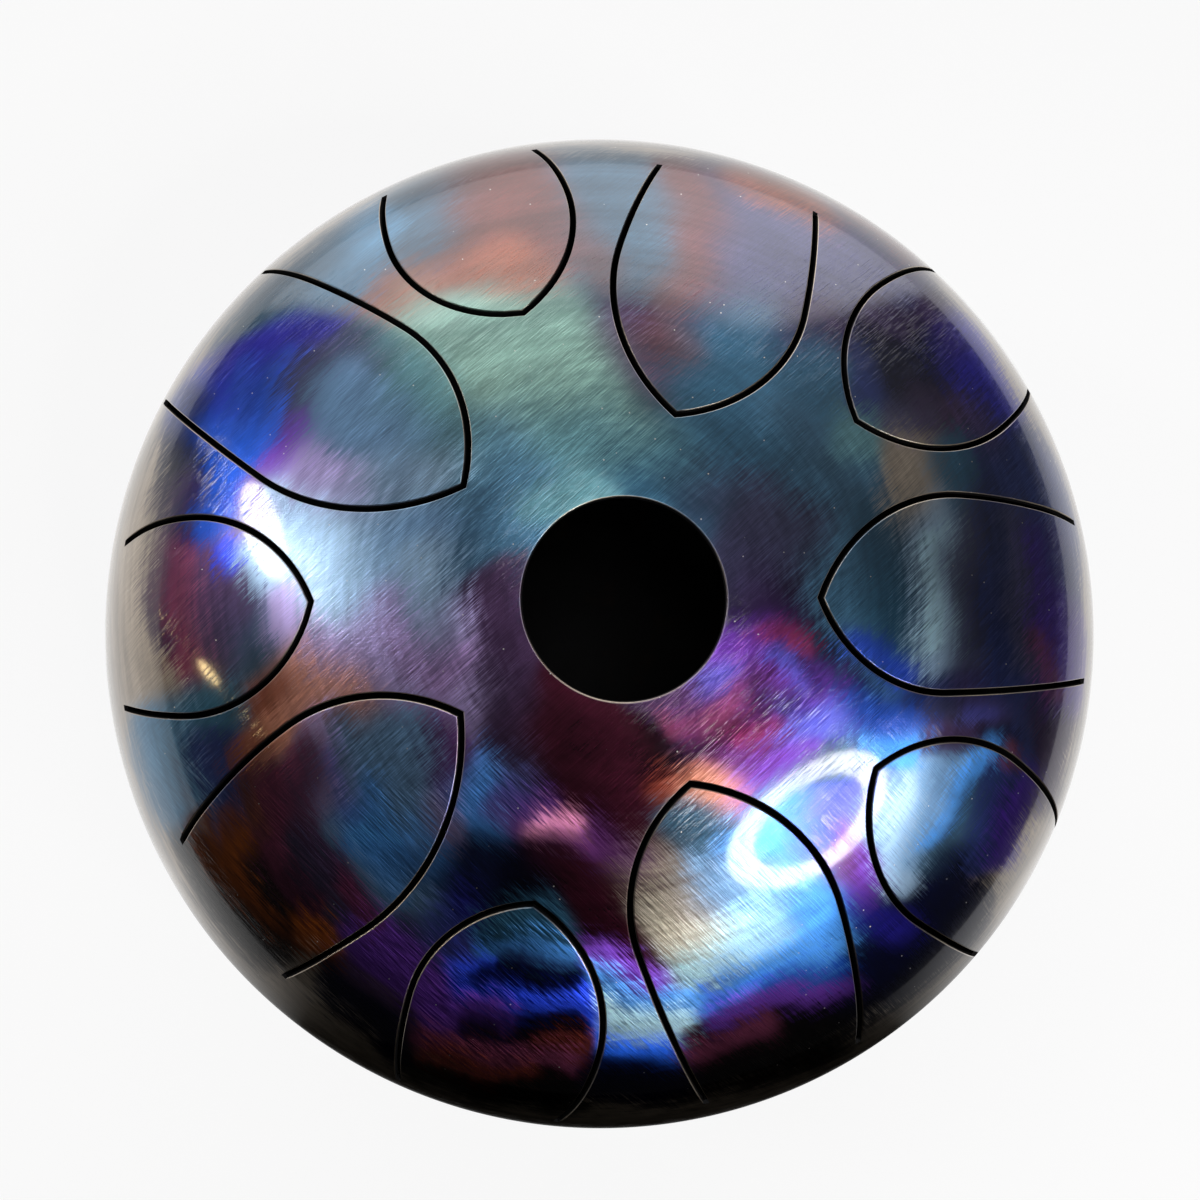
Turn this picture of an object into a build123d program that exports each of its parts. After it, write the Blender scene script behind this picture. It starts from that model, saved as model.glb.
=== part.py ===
from build123d import *
import math
import os

# Steel tongue drum. Millimetres and degrees.
# The origin is on the floor under the middle of the drum, +Z runs up its axis,
# and azimuths run counter-clockwise from +X, seen from above.

# The two dished halves
RIM_RADIUS = 150.0
CROWN_RADIUS = 300.0
KNUCKLE_RADIUS = 50.0
SHEET = 2.0
SKIRT_HEIGHT = 4.0
SOUND_HOLE_RADIUS = 25.0
SOUND_HOLE_EDGE = 0.5
FLOOR_GAP = 4.0

# The weld seam
GROOVE_DEPTH = 1.0
BEAD_WIDTH = 4.0
BEAD_CAP = 0.6

# The tongues, in plan: tip and root shares are of the span from sound hole to rim, the shoulder's is of
# half the chord that one tongue has of the rim, and lengths run along the tongue's own axis
SLIT_WIDTH = 1.5
ROOT_GAP = 0.2
LONG_TIP_SHARE = 0.188
SHORT_TIP_SHARE = 0.58
ROOT_SHARE = 0.128
SHOULDER_SHARE = 0.561
HEAD_LENGTH = 38.0
ROOT_TAPER = 4.0

# Each row is one hand-cut tongue: the shares of the tip gap or inset and of the root inset, then those
# of head length, shoulder half width and root taper on its counter-clockwise and clockwise sides
LONG_AZIMUTHS = [0.5, 74.0, 144.5, 215.0, 289.5]
LONG_SHARES = [
    (1.03, 0.95, (1.10, 1.08, 1.25), (0.91, 0.93, 0.65)),
    (1.00, 1.47, (1.13, 1.00, 1.05), (1.03, 1.02, 0.73)),
    (1.00, 0.55, (1.21, 1.05, 0.50), (1.03, 1.00, 1.25)),
    (1.00, 1.21, (1.37, 1.16, 0.40), (1.00, 0.87, 1.90)),
    (0.97, 0.92, (1.13, 1.03, 1.23), (0.95, 0.99, 1.03)),
]
SHORT_AZIMUTHS = [37.5, 108.5, 180.0, 253.5, 326.5]
SHORT_SHARES = [
    (1.00, 0.59, (0.95, 1.01, 1.20), (1.00, 1.00, 0.70)),
    (0.98, 0.91, (0.88, 1.07, 1.03), (0.94, 0.91, 0.88)),
    (1.00, 0.90, (0.93, 1.10, 0.63), (0.92, 0.89, 1.43)),
    (1.00, 0.59, (1.00, 1.06, 1.15), (0.86, 0.90, 0.78)),
    (1.01, 0.40, (0.92, 0.92, 1.35), (0.93, 1.02, 0.48)),
]

# The tongues' common sizes: the long tips lie out from the sound hole, short tips and roots in from the rim
TONGUE_COUNT = len(LONG_AZIMUTHS) + len(SHORT_AZIMUTHS)
TONGUE_SPAN = RIM_RADIUS - SOUND_HOLE_RADIUS
LONG_TIP_GAP = TONGUE_SPAN * LONG_TIP_SHARE
SHORT_TIP_INSET = TONGUE_SPAN * SHORT_TIP_SHARE
ROOT_INSET = TONGUE_SPAN * ROOT_SHARE
SHOULDER_HALF_WIDTH = RIM_RADIUS * math.sin(math.pi / TONGUE_COUNT) * SHOULDER_SHARE

# The rubber feet and the screws that hold them
FOOT_COUNT = 3
FOOT_FIRST_AZIMUTH = 90.0
FOOT_CIRCLE_RADIUS = 72.0
FOOT_TOP_RADIUS = 13.0
FOOT_BOTTOM_RADIUS = 11.0
FOOT_WEB = 4.0
FOOT_RECESS_GAP = 1.2
SCREW_RADIUS = 2.0
SCREW_HEAD_RADIUS = 3.8
SCREW_HEAD_HEIGHT = 2.6
SCREW_TAIL = 1.8
SOCKET_FLAT_RADIUS = 1.25
SOCKET_DEPTH = 1.5
HOLE_GAP = 0.25
THREAD_GAP = 0.05
SEAT_GAP = 0.05
INSERT_RADIUS = 7.0
INSERT_HEIGHT = 1.2
WASHER_RADIUS = 4.5
WASHER_HEIGHT = 0.8
NUT_FLAT_RADIUS = 3.5
NUT_HEIGHT = 3.2

# How far a cutting solid runs past what it cuts
OVERRUN = 5.0

# Heights that follow from the dish: a crown arc that runs smoothly into a knuckle arc
CROWN_DROP = math.sqrt((CROWN_RADIUS - KNUCKLE_RADIUS) ** 2 - (RIM_RADIUS - KNUCKLE_RADIUS) ** 2)
CROWN_ANGLE = math.degrees(math.atan2(RIM_RADIUS - KNUCKLE_RADIUS, CROWN_DROP))
HALF_HEIGHT = SKIRT_HEIGHT + CROWN_RADIUS - CROWN_DROP
SEAM_Z = FLOOR_GAP + HALF_HEIGHT
INWARD = (-1, 0)
OUTWARD = (1, 0)


# The halves, with the rim at height zero and the crown upward
def crown_angle_at(radius, crown_radius):
    """Angle from the drum's axis at which a crown arc reaches one radius."""
    return math.degrees(math.asin(radius / crown_radius))


def dish_arcs(inset, hole_radius):
    """The crown arc and the knuckle arc of the sheet's face that lies inset from its outside."""
    crown_centre = (0, SKIRT_HEIGHT - CROWN_DROP)
    knuckle_centre = (RIM_RADIUS - KNUCKLE_RADIUS, SKIRT_HEIGHT)
    crown_radius = CROWN_RADIUS - inset
    crown_span = CROWN_ANGLE - crown_angle_at(hole_radius, crown_radius)
    crown = CenterArc(crown_centre, crown_radius, 90 - CROWN_ANGLE, crown_span)
    knuckle = CenterArc(knuckle_centre, KNUCKLE_RADIUS - inset, 0, 90 - CROWN_ANGLE)
    return crown, knuckle


def dished_half(hole_radius):
    """One half: sheet of even thickness, with the outer rim edge bevelled for the weld."""
    outer_crown, outer_knuckle = dish_arcs(0, hole_radius)
    inner_crown, inner_knuckle = dish_arcs(SHEET, hole_radius)
    inner_rim = RIM_RADIUS - SHEET
    rim = Polyline(
        outer_knuckle @ 0,
        (RIM_RADIUS, GROOVE_DEPTH),
        (RIM_RADIUS - GROOVE_DEPTH, 0),
        (inner_rim, 0),
        inner_knuckle @ 0,
    )
    hole_wall = Line(inner_crown @ 1, outer_crown @ 1)
    profile = make_face([outer_crown, outer_knuckle, rim, inner_knuckle, inner_crown, hole_wall])
    return revolve(Plane.XZ * profile, Axis.Z)


def pierced_dome():
    """The upper half in place, with the edge of its sound hole rounded off."""
    dome = Pos(0, 0, SEAM_Z) * dished_half(SOUND_HOLE_RADIUS)
    hole_edge = dome.edges().sort_by(Axis.Z)[-1]
    return fillet(hole_edge, SOUND_HOLE_EDGE)


# The slits, in each tongue's own plan: x along its axis from the drum's axis, y across it
def arc_radius(length, drop):
    """Radius of an arc that starts along the axis and falls by drop over length."""
    return (length ** 2 + drop ** 2) / (2 * drop)


class SlitSide:
    """One side of a slit: a head arc from the tip to the shoulder and a run arc on to the root."""

    def __init__(self, tip_x, root_radius, side_shares, hand):
        head_share, shoulder_share, taper_share = side_shares
        self.hand = hand
        self.shoulder_x = tip_x + HEAD_LENGTH * head_share
        self.half_width = SHOULDER_HALF_WIDTH * shoulder_share
        self.head_radius = arc_radius(HEAD_LENGTH * head_share, self.half_width)
        self.run_radius = arc_radius(root_radius - self.shoulder_x, ROOT_TAPER * taper_share)

    def shoulder(self, offset):
        return (self.shoulder_x, self.hand * (self.half_width + offset))

    def head_centre(self):
        return (self.shoulder_x, self.hand * (self.half_width - self.head_radius))

    def end(self, end_x, offset):
        """The point of the run arc at end_x, once it is moved outward by offset."""
        reach = math.sqrt((self.run_radius + offset) ** 2 - (end_x - self.shoulder_x) ** 2)
        return (end_x, self.hand * (self.half_width - self.run_radius + reach))


class Tongue:
    """One tongue's place and the two sides of the slit that frees it, down to its root radius."""

    def __init__(self, name, azimuth, tip_start, tip_step, shares):
        tip_share, inset_share, left_shares, right_shares = shares
        tip_x = tip_start + tip_step * tip_share
        self.name = name
        self.azimuth = azimuth
        self.root_radius = RIM_RADIUS - ROOT_INSET * inset_share
        self.sides = [
            SlitSide(tip_x, self.root_radius, left_shares, 1),
            SlitSide(tip_x, self.root_radius, right_shares, -1),
        ]

    def tip(self, offset):
        """Where the two head arcs cross, once both are moved outward by offset."""
        left, right = self.sides
        (left_x, left_y), (right_x, right_y) = left.head_centre(), right.head_centre()
        left_radius, right_radius = left.head_radius + offset, right.head_radius + offset
        apart = math.hypot(right_x - left_x, right_y - left_y)
        along = (apart ** 2 + left_radius ** 2 - right_radius ** 2) / (2 * apart)
        across = math.sqrt(left_radius ** 2 - along ** 2)
        unit_x, unit_y = (right_x - left_x) / apart, (right_y - left_y) / apart
        first = (left_x + along * unit_x - across * unit_y, left_y + along * unit_y + across * unit_x)
        second = (left_x + along * unit_x + across * unit_y, left_y + along * unit_y - across * unit_x)
        return min(first, second)

    def prism(self, offset, root_offset):
        """The upright block inside the slit's centre line moved outward by offset, round at the root."""
        end_x = self.root_radius + ROOT_GAP
        tip = self.tip(offset)
        edges = [Line(*[side.end(end_x, offset) for side in self.sides])]
        for side in self.sides:
            edges.append(TangentArc(side.shoulder(offset), tip, tangent=INWARD))
            edges.append(TangentArc(side.shoulder(offset), side.end(end_x, offset), tangent=OUTWARD))
        outline = Rot(0, 0, self.azimuth) * make_face(edges) & Circle(self.root_radius + root_offset)
        return Pos(0, 0, SEAM_Z) * extrude(outline, HALF_HEIGHT + OVERRUN)


def tongue_family(name, azimuths, tip_start, tip_step, shares):
    """Tongues whose tips lie one share of tip_step from tip_start: the hole's edge or the rim."""
    rows = enumerate(zip(azimuths, shares), start=1)
    return [Tongue(f"{name}_{number}", azimuth, tip_start, tip_step, row) for number, (azimuth, row) in rows]


TONGUES = [
    *tongue_family("long_tongue", LONG_AZIMUTHS, SOUND_HOLE_RADIUS, LONG_TIP_GAP, LONG_SHARES),
    *tongue_family("short_tongue", SHORT_AZIMUTHS, RIM_RADIUS, -SHORT_TIP_INSET, SHORT_SHARES),
]


def upper_shell(dome):
    windows = [tongue.prism(SLIT_WIDTH / 2, ROOT_GAP / 2) for tongue in TONGUES]
    return dome - windows


def cut_tongue(dome, tongue):
    return dome & tongue.prism(-SLIT_WIDTH / 2, -ROOT_GAP / 2)


def weld_bead():
    """The bead fills the V between the two bevelled rims and stands proud as a low cap."""
    half_bead = BEAD_WIDTH / 2
    root = Polyline(
        (RIM_RADIUS, half_bead),
        (RIM_RADIUS, GROOVE_DEPTH),
        (RIM_RADIUS - GROOVE_DEPTH, 0),
        (RIM_RADIUS, -GROOVE_DEPTH),
        (RIM_RADIUS, -half_bead),
    )
    cap = ThreePointArc(root @ 1, (RIM_RADIUS + BEAD_CAP, 0), root @ 0)
    return Pos(0, 0, SEAM_Z) * revolve(Plane.XZ * make_face([root, cap]), Axis.Z)


# The feet, each along its own axis: z runs outward from the lower crown, square to the sheet
FOOT_TILT = crown_angle_at(FOOT_CIRCLE_RADIUS, CROWN_RADIUS)
TILT_SIN = math.sin(math.radians(FOOT_TILT))
TILT_COS = math.cos(math.radians(FOOT_TILT))
FOOT_DROP = FLOOR_GAP + CROWN_RADIUS * (1 - TILT_COS)
FOOT_REACH = (FOOT_DROP + FOOT_TOP_RADIUS * TILT_SIN) / TILT_COS
FOOT_PLACES = [
    Rot(0, 0, FOOT_FIRST_AZIMUTH + number * 360 / FOOT_COUNT)
    * Pos(FOOT_CIRCLE_RADIUS, 0, FOOT_DROP)
    * Rot(0, 180 - FOOT_TILT, 0)
    for number in range(FOOT_COUNT)
]
INSERT_Z = FOOT_WEB
HEAD_Z = INSERT_Z + INSERT_HEIGHT
INNER_CROWN = CROWN_RADIUS - SHEET
WASHER_SAG = INNER_CROWN - math.sqrt(INNER_CROWN ** 2 - WASHER_RADIUS ** 2)
WASHER_Z = -SHEET - WASHER_SAG - SEAT_GAP - WASHER_HEIGHT
NUT_Z = WASHER_Z - NUT_HEIGHT
SCREW_END_Z = NUT_Z - SCREW_TAIL


def post(radius, start_z, end_z):
    """A round bar along the foot's axis."""
    return Pos(0, 0, start_z) * extrude(Circle(radius), end_z - start_z)


def lower_shell():
    closed_half = Pos(0, 0, SEAM_Z) * Rot(180, 0, 0) * dished_half(0)
    hole = post(SCREW_RADIUS + HOLE_GAP, -SHEET - OVERRUN, OVERRUN)
    return closed_half - [place * hole for place in FOOT_PLACES]


def rubber_foot(place):
    """A tapered plug, dished to sit on the shell, recessed for the screw and flat on the floor."""
    taper = (FOOT_TOP_RADIUS - FOOT_BOTTOM_RADIUS) / FOOT_REACH
    stock_top = FOOT_TOP_RADIUS + taper * SHEET
    upward = (Align.CENTER, Align.CENTER, Align.MIN)
    stock = Pos(0, 0, -SHEET) * Cone(stock_top, FOOT_BOTTOM_RADIUS, FOOT_REACH + SHEET, align=upward)
    seat = Pos(0, 0, -CROWN_RADIUS) * Sphere(CROWN_RADIUS + SEAT_GAP)
    bore = post(SCREW_RADIUS + HOLE_GAP, -SHEET, HEAD_Z)
    pocket = post(INSERT_RADIUS + SEAT_GAP, INSERT_Z, HEAD_Z)
    recess = post(SCREW_HEAD_RADIUS + FOOT_RECESS_GAP, HEAD_Z, FOOT_REACH + OVERRUN)
    foot = place * (stock - seat - bore - pocket - recess)
    floor_side = 2 * RIM_RADIUS
    floor = Box(floor_side, floor_side, FOOT_REACH, align=(Align.CENTER, Align.CENTER, Align.MAX))
    return foot - floor


def foot_screw():
    head = post(SCREW_HEAD_RADIUS, HEAD_Z, HEAD_Z + SCREW_HEAD_HEIGHT)
    socket_outline = RegularPolygon(SOCKET_FLAT_RADIUS, 6, major_radius=False)
    socket_z = HEAD_Z + SCREW_HEAD_HEIGHT - SOCKET_DEPTH
    socket = Pos(0, 0, socket_z) * extrude(socket_outline, SOCKET_DEPTH)
    return head - socket + post(SCREW_RADIUS, SCREW_END_Z, HEAD_Z)


def foot_ring(radius, start_z, height):
    hole = post(SCREW_RADIUS + HOLE_GAP, start_z, start_z + height)
    return post(radius, start_z, start_z + height) - hole


def foot_nut():
    outline = RegularPolygon(NUT_FLAT_RADIUS, 6, major_radius=False)
    outline -= Circle(SCREW_RADIUS + THREAD_GAP)
    return Pos(0, 0, NUT_Z) * extrude(outline, NUT_HEIGHT)


def at_each_foot(piece):
    return Compound([place * solid for place in FOOT_PLACES for solid in piece.solids()])


# All pieces, in assembly order
def assemble():
    dome = pierced_dome()
    nodes = {"upper_shell": upper_shell(dome)}
    for tongue in TONGUES:
        nodes[tongue.name] = cut_tongue(dome, tongue)
    nodes["lower_shell"] = lower_shell()
    nodes["weld_bead"] = weld_bead()
    for number, place in enumerate(FOOT_PLACES, start=1):
        nodes[f"rubber_foot_{number}"] = rubber_foot(place)
    nodes["foot_insert_washers"] = at_each_foot(foot_ring(INSERT_RADIUS, INSERT_Z, INSERT_HEIGHT))
    nodes["foot_screws"] = at_each_foot(foot_screw())
    nodes["foot_washers"] = at_each_foot(foot_ring(WASHER_RADIUS, WASHER_Z, WASHER_HEIGHT))
    nodes["foot_nuts"] = at_each_foot(foot_nut())
    return nodes


os.makedirs("parts", exist_ok=True)
for node, shape in assemble().items():
    export_step(shape, f"parts/{node}.step")
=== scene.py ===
import math
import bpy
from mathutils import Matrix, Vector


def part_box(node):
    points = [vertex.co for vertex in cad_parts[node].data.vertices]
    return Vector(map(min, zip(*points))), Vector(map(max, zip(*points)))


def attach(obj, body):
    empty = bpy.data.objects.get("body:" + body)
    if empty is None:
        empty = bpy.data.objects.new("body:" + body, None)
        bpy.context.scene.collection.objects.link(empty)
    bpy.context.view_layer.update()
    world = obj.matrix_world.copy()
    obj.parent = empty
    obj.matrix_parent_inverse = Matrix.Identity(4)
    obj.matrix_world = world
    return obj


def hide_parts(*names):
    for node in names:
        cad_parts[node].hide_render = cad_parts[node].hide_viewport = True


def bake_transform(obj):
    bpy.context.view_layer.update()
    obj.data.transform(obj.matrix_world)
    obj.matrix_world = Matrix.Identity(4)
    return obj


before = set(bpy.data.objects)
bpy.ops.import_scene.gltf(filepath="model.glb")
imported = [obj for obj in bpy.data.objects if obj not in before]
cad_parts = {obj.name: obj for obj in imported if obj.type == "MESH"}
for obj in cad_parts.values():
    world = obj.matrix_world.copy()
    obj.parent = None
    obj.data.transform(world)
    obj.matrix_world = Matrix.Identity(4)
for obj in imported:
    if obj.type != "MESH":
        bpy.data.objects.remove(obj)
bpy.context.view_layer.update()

from types import SimpleNamespace

import bpy
import numpy as np
from mathutils import Matrix

# Lower shell: the uncut half that closes the resonator, a disc of 2 mm steel sheet pressed to the same
# dish as the top. It was heated with the rest, so it has the same oxide film, evener and bluer.
RIM_RADIUS = 0.150
CROWN_RADIUS = 0.300
KNUCKLE_RADIUS = 0.050
SHEET = 0.002
SKIRT_HEIGHT = 0.004
GROOVE_DEPTH = 0.001
BEAD_WIDTH = 0.004
SEAM_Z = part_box("lower_shell")[1].z
CROWN_DROP = math.sqrt((CROWN_RADIUS - KNUCKLE_RADIUS) ** 2 - (RIM_RADIUS - KNUCKLE_RADIUS) ** 2)
CROWN_ANGLE = math.atan2(RIM_RADIUS - KNUCKLE_RADIUS, CROWN_DROP)
CROWN_REACH = CROWN_RADIUS * CROWN_ANGLE
KNUCKLE_REACH = CROWN_REACH + KNUCKLE_RADIUS * (math.pi / 2 - CROWN_ANGLE)
DISH_REACH = KNUCKLE_REACH + SKIRT_HEIGHT
GROOVE_REACH = DISH_REACH - BEAD_WIDTH / 2
LOWER_ROW = 0.0025
LOWER_COLUMNS = 240
MERGE = 1.3e-7
CRISP_ANGLE = math.radians(40)


def dish(reach, depth):
    """Radius, height over the seam and outward tilt of the pressed sheet.

    Reach is the way along the outside from the axis: a crown arc about a centre on the axis, a knuckle arc
    tangent to it, then a straight skirt. Depth goes into the sheet, towards the arcs' centres.
    """
    on_crown = reach < CROWN_REACH
    tilt = np.where(on_crown, reach / CROWN_RADIUS, CROWN_ANGLE + (reach - CROWN_REACH) / KNUCKLE_RADIUS)
    tilt = np.minimum(tilt, math.pi / 2)
    bend = np.where(on_crown, CROWN_RADIUS, KNUCKLE_RADIUS) - depth
    radius = np.where(on_crown, 0.0, RIM_RADIUS - KNUCKLE_RADIUS) + bend * np.sin(tilt)
    height = np.where(on_crown, SKIRT_HEIGHT - CROWN_DROP, SKIRT_HEIGHT) + bend * np.cos(tilt)
    return radius, height - np.maximum(reach - KNUCKLE_REACH, 0.0), tilt


def groove(reach):
    """Depth of the bevel for the weld: it grows evenly from its start on the skirt down to the rim."""
    return GROOVE_DEPTH * np.clip((reach - GROOVE_REACH) / (DISH_REACH - GROOVE_REACH), 0.0, 1.0)


def placed(radius, azimuth, height):
    """Points, or directions, at a radius from the axis, an azimuth and a height."""
    radius, azimuth, height = np.broadcast_arrays(radius, azimuth, height)
    return np.stack([radius * np.cos(azimuth), radius * np.sin(azimuth), height], -1)


def around(place, azimuth, up=1):
    """Points and outward normals of radius, height and tilt at azimuths round the axis; up -1 mirrors them."""
    radius, height, tilt, azimuth = np.broadcast_arrays(*place, azimuth)
    return placed(radius, azimuth, SEAM_Z + up * height), placed(np.sin(tilt), azimuth, up * np.cos(tilt))


def steps(knots, longest):
    """Rising values that hold every knot, with even steps no longer than the longest between each two."""
    knots = np.unique(np.round(knots, 12))
    counts = np.ceil(np.diff(knots) / longest).astype(int)
    spans = [np.linspace(a, b, n, endpoint=False) for a, b, n in zip(knots[:-1], knots[1:], counts)]
    return np.concatenate(spans + [knots[-1:]])


def cells(points, normals, ring=False):
    """A grid of points as quads, all turned so that they face the way their normals do."""
    rows, columns = points.shape[:2]
    index = np.arange(rows * columns).reshape(rows, columns)
    if ring:
        index = np.column_stack([index, index[:, 0]])
    quads = np.stack([index[:-1, :-1], index[1:, :-1], index[1:, 1:], index[:-1, 1:]], -1).reshape(-1, 4)
    points, normals = points.reshape(-1, 3), normals.reshape(-1, 3)
    corners = points[quads]
    facing = np.cross(corners[:, 2] - corners[:, 0], corners[:, 3] - corners[:, 1])
    if np.sum(facing * normals[quads].mean(1)) < 0:
        quads = quads[:, ::-1]
    return points, normals, quads


def joined(name, *patches, exact=True):
    """One closed mesh of patches: points that coincide are merged, and quads that close up become triangles.

    A merged point keeps the normal of the first patch that has it, unless the faces are to shade by
    themselves, with the edges that turn sharply left crisp.
    """
    starts = np.cumsum([0] + [len(patch[0]) for patch in patches[:-1]])
    points = np.concatenate([patch[0] for patch in patches])
    normals = np.concatenate([patch[1] for patch in patches])
    quads = np.concatenate([patch[2] + start for patch, start in zip(patches, starts)])
    keys = np.round(points / MERGE).astype(np.int64)
    _, first, merged = np.unique(keys, axis=0, return_index=True, return_inverse=True)
    quads = merged.reshape(-1)[quads]
    shut = quads == np.roll(quads, -1, 1)
    once = shut.sum(1) == 1
    triangles = quads[once][~shut[once]].reshape(-1, 3)
    faces = quads[~shut.any(1)].tolist() + triangles.tolist()
    mesh = bpy.data.meshes.new(name)
    mesh.from_pydata(points[first], [], faces)
    mesh.polygons.foreach_set("use_smooth", np.ones(len(faces), dtype=bool))
    if exact:
        mesh.normals_split_custom_set_from_vertices(normals[first])
    else:
        mesh.set_sharp_from_angle(angle=CRISP_ANGLE)
    piece = bpy.data.objects.new(name, mesh)
    bpy.context.collection.objects.link(piece)
    return piece


lower_reach = steps([0.0, CROWN_REACH, KNUCKLE_REACH, GROOVE_REACH, DISH_REACH], LOWER_ROW)[:, None]
lower_azimuth = np.linspace(0.0, 2 * math.pi, LOWER_COLUMNS, endpoint=False)[None, :]
outside, outside_normals = around(dish(lower_reach, groove(lower_reach)), lower_azimuth, -1)
inside, inside_normals = around(dish(lower_reach, SHEET), lower_azimuth, -1)
rim = np.stack([outside[-1], inside[-1]])
lower_shell = joined(
    "lower_shell_sheet",
    cells(outside, outside_normals, True),
    cells(inside, -inside_normals, True),
    cells(rim, np.broadcast_to([0.0, 0.0, 1.0], rim.shape), True),
)
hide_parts("lower_shell")
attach(lower_shell, "shell")


def linear(red, green, blue):
    """A colour written as it looks on a screen, 0 to 255, as amounts of light."""
    seen = np.array([red, green, blue]) / 255
    return (*np.where(seen <= 0.04045, seen / 12.92, ((seen + 0.055) / 1.055) ** 2.4), 1.0)


def feed(tree, node, inputs):
    """Gives each input of a node its value, or a link where it is given another node's output."""
    for name, value in inputs.items():
        if isinstance(value, bpy.types.NodeSocket):
            tree.links.new(value, node.inputs[name])
        else:
            node.inputs[name].default_value = value


def add(tree, kind, inputs=None, **settings):
    """Adds a node with its settings and inputs."""
    made = tree.nodes.new(kind)
    for name, value in settings.items():
        setattr(made, name, value)
    feed(tree, made, inputs or {})
    return made


def work_out(tree, operation, *values):
    """A Math node's result on values or other nodes' outputs."""
    return add(tree, "ShaderNodeMath", dict(enumerate(values)), operation=operation).outputs[0]


def times(tree, first, *others):
    """The product of values."""
    for value in others:
        first = work_out(tree, "MULTIPLY", first, value)
    return first


def weighed(tree, first, first_share, second, second_share):
    """The sum of two values, each times its share."""
    return work_out(tree, "MULTIPLY_ADD", first, first_share, times(tree, second, second_share))


def ramp(tree, source, *stops):
    """A colour ramp's result: each stop is a place along it and a colour."""
    made = add(tree, "ShaderNodeValToRGB", {"Fac": source})
    while len(made.color_ramp.elements) < len(stops):
        made.color_ramp.elements.new(0.5)
    for element, (place, colour) in zip(made.color_ramp.elements, stops):
        element.position, element.color = place, colour
    return made.outputs["Color"]


def spread(tree, source, low, high, to_low, to_high):
    """A source's range carried over to another one, held at both ends."""
    inputs = {"Value": source, "From Min": low, "From Max": high, "To Min": to_low, "To Max": to_high}
    return add(tree, "ShaderNodeMapRange", inputs).outputs["Result"]


def mixed(tree, blend_type, share, first, second):
    """Two colours mixed by a share in one of the mixing ways."""
    inputs = {0: share, 6: first, 7: second}
    return add(tree, "ShaderNodeMix", inputs, data_type="RGBA", blend_type=blend_type).outputs[2]


def noise(tree, vector, scale, detail=3.0, roughness=0.55):
    """A noise texture's value."""
    inputs = {"Vector": vector, "Scale": scale, "Detail": detail, "Roughness": roughness}
    return add(tree, "ShaderNodeTexNoise", inputs).outputs["Fac"]


def stretched(tree, vector, scale, turn=0.0):
    """Coordinates turned about the drum's axis and stretched along each axis."""
    inputs = {"Vector": vector, "Rotation": (0.0, 0.0, turn), "Scale": scale}
    return add(tree, "ShaderNodeMapping", inputs).outputs["Vector"]


def painted(tree, name, output):
    """What a piece keeps with its points under a name."""
    return add(tree, "ShaderNodeAttribute", attribute_name=name, attribute_type="GEOMETRY").outputs[output]


def bumped(tree, height, strength, distance=0.0002):
    """The normal that a height gives a surface."""
    inputs = {"Strength": strength, "Distance": distance, "Height": height}
    return add(tree, "ShaderNodeBump", inputs).outputs["Normal"]


def new_finish(name):
    """A new material with its nodes, its shader and its piece's own coordinates."""
    material = bpy.data.materials.new(name)
    material.use_nodes = True
    tree = material.node_tree
    return material, tree, tree.nodes["Principled BSDF"], add(tree, "ShaderNodeTexCoord").outputs["Object"]


def mill_scale():
    """The bare inside of the sheet: black scale from the mill, dull and rough, with rusty blooms."""
    material, tree, shader, place = new_finish("mill_scale")
    bloom = noise(tree, place, 70.0, 5.0)
    black, worn, rusty = linear(13, 13, 15), linear(20, 19, 20), linear(34, 26, 22)
    feed(tree, shader, {
        "Base Color": ramp(tree, bloom, (0.35, black), (0.60, worn), (0.80, rusty)),
        "Roughness": spread(tree, bloom, 0.3, 0.7, 0.7, 0.9),
        "Specular IOR Level": 0.15,
        "Normal": bumped(tree, noise(tree, place, 900.0), 0.2),
    })
    return material


inner_scale = mill_scale()
SCALE_FROM = 0.15


def points_of(piece):
    """The places of a piece's points, as three rows."""
    places = np.empty(len(piece.data.vertices) * 3)
    piece.data.vertices.foreach_get("co", places)
    return places.reshape(-1, 3).T


def keep(piece, name, values):
    """Keeps a number, or a colour, with each point of a piece under a name."""
    kind, field = ("FLOAT", "value") if values.ndim == 1 else ("FLOAT_COLOR", "color")
    kept = piece.data.attributes.new(name, kind, "POINT")
    kept.data.foreach_set(field, values.astype(np.float32).reshape(-1))


def finish_sheet(piece, up, outer_finish):
    """Gives each point its depth in the sheet as a share, 0 outside and 1 inside, and the inside its finish.

    The outside is the crown's sphere inside the junction, the knuckle's ring outside it, and the skirt below.
    """
    x, y, z = points_of(piece)
    radius, over = np.hypot(x, y), up * (z - SEAM_Z) - SKIRT_HEIGHT
    from_crown = CROWN_RADIUS - np.hypot(radius, over + CROWN_DROP)
    past = radius - RIM_RADIUS + KNUCKLE_RADIUS
    from_knuckle = KNUCKLE_RADIUS - np.hypot(past, np.maximum(over, 0.0))
    on_crown = np.arctan2(radius, over + CROWN_DROP) < CROWN_ANGLE
    depth = np.where(on_crown, from_crown, from_knuckle) / SHEET
    keep(piece, "depth_share", depth)
    piece.data.materials.append(outer_finish)
    piece.data.materials.append(inner_scale)
    corners = np.empty(len(piece.data.loops), dtype=np.int32)
    piece.data.loops.foreach_get("vertex_index", corners)
    starts = np.empty(len(piece.data.polygons), dtype=np.int32)
    piece.data.polygons.foreach_get("loop_start", starts)
    middle = np.add.reduceat(depth[corners], starts) / np.diff(np.append(starts, len(corners)))
    piece.data.polygons.foreach_set("material_index", (middle > SCALE_FROM).astype(np.int32))


BARE_STEEL = linear(206, 202, 196)
FILED_STEEL = linear(172, 158, 140)
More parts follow.
